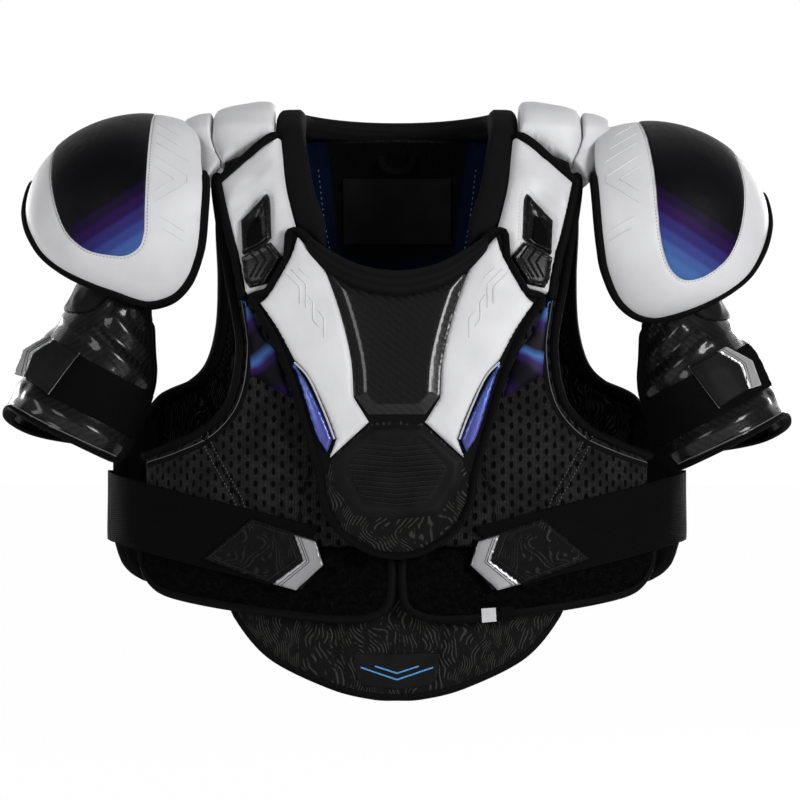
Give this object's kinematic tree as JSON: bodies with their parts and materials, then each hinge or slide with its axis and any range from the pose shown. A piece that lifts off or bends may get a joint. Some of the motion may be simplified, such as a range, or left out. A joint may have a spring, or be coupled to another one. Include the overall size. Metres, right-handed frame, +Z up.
{
  "type": "hockey shoulder pads",
  "caption": "Padded ice hockey shoulder pads with hinged shoulder caps, biceps guards, a floating sternum guard, belly straps and a belly extension pad.",
  "frame": {"origin": "midpoint between the shoulders on the line that the pads rest on", "axes": "+X to the wearer's left, +Y to the wearer's back, +Z up; the chest faces -Y"},
  "size_m": [0.626, 0.2572, 0.4679],
  "materials": {
    "white_cover": "satin",
    "mesh_fabric": "knitted spacer mesh",
    "back_shell": "woven",
    "black_moulded": "moulded",
    "carbon_composite": "glossy woven composite",
    "edge_binding": "sewn tape",
    "elastic": "woven elastic",
    "loop_fabric": "brushed loop",
    "collar_fabric": "soft knit",
    "lining": "knitted lining",
    "foam_backing": "covered foam",
    "colour_insert": "printed gloss",
    "print_fabric": "glossy print on knit",
    "label": "woven label"
  },
  "bodies": {
    "vest": {"back_collar": "collar_fabric", "back_liner": "lining", "back_panel": "back_shell", "back_wings": "back_shell", "hang_loop": "elastic", "left_arch_pad_inner": "white_cover", "left_arch_pad_outer": "white_cover", "left_chest_liner": "lining", "left_chest_panel": "mesh_fabric", "left_clavicle_panel": "white_cover", "left_collar_strip": "collar_fabric", "left_loop_panel": "loop_fabric", "left_strap_guide": "black_moulded", "lower_back_pad": "back_shell", "neck_label": "label", "right_arch_pad_inner": "white_cover", "right_arch_pad_outer": "white_cover", "right_chest_liner": "lining", "right_chest_panel": "mesh_fabric", "right_clavicle_panel": "white_cover", "right_collar_strip": "collar_fabric", "right_loop_panel": "loop_fabric", "right_strap_guide": "black_moulded", "spine_guard": "black_moulded", "strap_anchors": "elastic"},
    "sternum_guard": {"sternum_backing": "foam_backing", "sternum_binding": "edge_binding", "sternum_plate": "carbon_composite", "lower_plate": "black_moulded", "neckline_roll": "collar_fabric", "right_sternum_wing": "white_cover", "left_sternum_wing": "white_cover", "right_wing_insert": "colour_insert", "left_wing_insert": "colour_insert"},
    "extension": {"extension_pad": "print_fabric", "extension_patch": "label"},
    "right_cap": {"right_cap_shell": "white_cover", "right_cap_liner": "lining", "right_cap_binding": "edge_binding", "right_cap_insert": "colour_insert", "right_arm_link": "elastic"},
    "right_biceps": {"right_biceps_shell": "carbon_composite", "right_biceps_liner": "lining"},
    "right_biceps_strap": {"right_biceps_strap": "elastic", "right_biceps_tab": "black_moulded"},
    "right_belly_strap": {"right_belly_strap": "elastic", "right_belly_tab": "black_moulded"},
    "right_sternum_tab": {"right_sternum_tab": "black_moulded"},
    "left_cap": {"left_cap_shell": "white_cover", "left_cap_liner": "lining", "left_cap_binding": "edge_binding", "left_cap_insert": "colour_insert", "left_arm_link": "elastic"},
    "left_biceps": {"left_biceps_shell": "carbon_composite", "left_biceps_liner": "lining"},
    "left_biceps_strap": {"left_biceps_strap": "elastic", "left_biceps_tab": "black_moulded"},
    "left_belly_strap": {"left_belly_strap": "elastic", "left_belly_tab": "black_moulded"},
    "left_sternum_tab": {"left_sternum_tab": "black_moulded"}
  },
  "joints": [
    {"name": "right_shoulder_lift", "type": "hinge", "parent": "vest", "child": "right_cap", "pos_m": [-0.1655, 0, 0.004], "axis": [0, 1, 0], "range_deg": [0, 55]},
    {"name": "right_biceps_swing", "type": "hinge", "parent": "right_cap", "child": "right_biceps", "pos_m": [-0.229, 0, -0.157], "axis": [0, 1, 0], "range_deg": [0, 20]},
    {"name": "right_biceps_strap_peel", "type": "hinge", "parent": "right_biceps", "child": "right_biceps_strap", "pos_m": [-0.1967, -0.003, -0.22196], "axis": [0.342, 0, 0.9397], "range_deg": [0, 50]},
    {"name": "right_belly_strap_peel", "type": "hinge", "parent": "vest", "child": "right_belly_strap", "pos_m": [-0.2315, -0.0025, -0.3], "axis": [0, 0, -1], "range_deg": [0, 80]},
    {"name": "right_sternum_tab_peel", "type": "hinge", "parent": "vest", "child": "right_sternum_tab", "pos_m": [-0.111, -0.088, -0.102], "axis": [-0.8744, 0.087, -0.4772], "range_deg": [0, 60]},
    {"name": "left_shoulder_lift", "type": "hinge", "parent": "vest", "child": "left_cap", "pos_m": [0.1655, 0, 0.004], "axis": [0, -1, 0], "range_deg": [0, 55]},
    {"name": "left_biceps_swing", "type": "hinge", "parent": "left_cap", "child": "left_biceps", "pos_m": [0.229, 0, -0.163], "axis": [0, -1, 0], "range_deg": [0, 20]},
    {"name": "left_biceps_strap_peel", "type": "hinge", "parent": "left_biceps", "child": "left_biceps_strap", "pos_m": [0.1967, -0.003, -0.22796], "axis": [0.342, 0, -0.9397], "range_deg": [0, 50]},
    {"name": "left_belly_strap_peel", "type": "hinge", "parent": "vest", "child": "left_belly_strap", "pos_m": [0.2315, -0.0025, -0.3], "axis": [0, 0, 1], "range_deg": [0, 80]},
    {"name": "left_sternum_tab_peel", "type": "hinge", "parent": "vest", "child": "left_sternum_tab", "pos_m": [0.111, -0.088, -0.102], "axis": [-0.8744, -0.087, 0.4772], "range_deg": [0, 60]},
    {"name": "sternum_guard_swing", "type": "hinge", "parent": "vest", "child": "sternum_guard", "pos_m": [0, -0.089, -0.085], "axis": [-1, 0, 0], "range_deg": [0, 20]},
    {"name": "extension_pad_pull", "type": "slide", "parent": "vest", "child": "extension", "axis": [0, 0, -1], "range_m": [-0.03, 0.05]}
  ]
}
